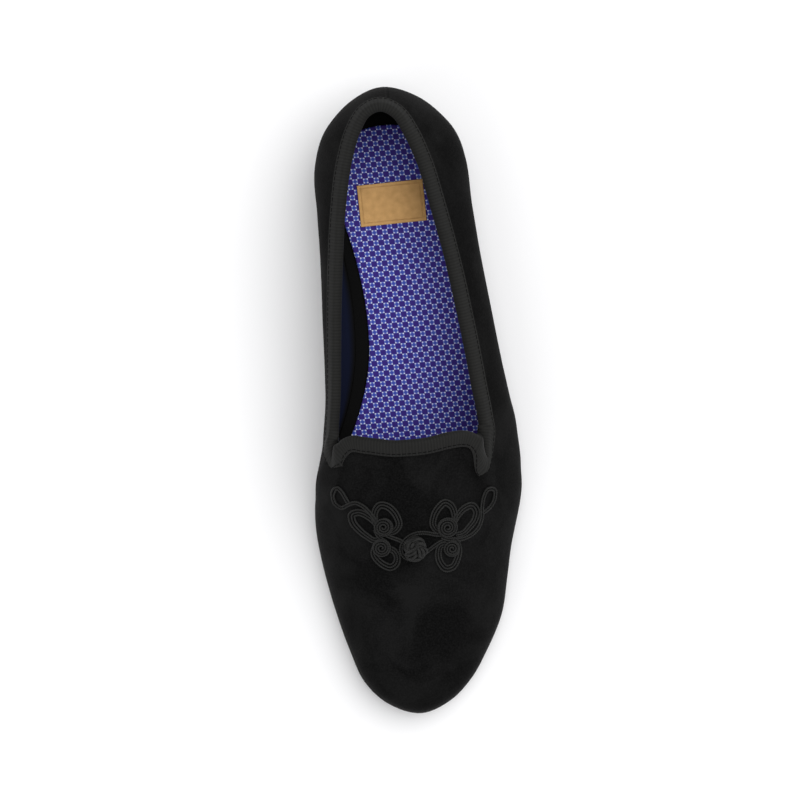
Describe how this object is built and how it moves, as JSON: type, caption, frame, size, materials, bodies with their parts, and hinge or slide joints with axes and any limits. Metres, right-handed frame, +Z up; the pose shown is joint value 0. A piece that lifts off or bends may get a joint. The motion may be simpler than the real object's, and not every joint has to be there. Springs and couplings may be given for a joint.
{
  "type": "slipper loafer",
  "caption": "Left velvet slip-on loafer with a low heel, a ribbed ribbon round the topline, a squared tab at the throat and a corded ornament on the vamp.",
  "frame": {"origin": "middle of the flat bottom of the heel, on the ground", "axes": "+Z up, -Y towards the toe, +X towards the outer side of the left foot"},
  "size_m": [0.086, 0.2561, 0.0617],
  "materials": {
    "velvet": "black velvet",
    "grosgrain": "ribbed ribbon",
    "cord": "twisted cord",
    "sole_leather": "smooth black",
    "lift_rubber": "matte",
    "footbed": "black cloth",
    "printed_twill": "small check print",
    "gold_foil": "satin"
  },
  "bodies": {
    "root": {"outsole": "sole_leather", "heel_stack": "sole_leather", "top_lift": "lift_rubber", "insole": "footbed", "sock": "printed_twill", "sock_label": "gold_foil", "upper": "velvet", "topline_binding": "grosgrain", "frog_knot_side": "cord", "frog_loop_side": "cord", "frog_knot": "cord"}
  },
  "joints": []
}
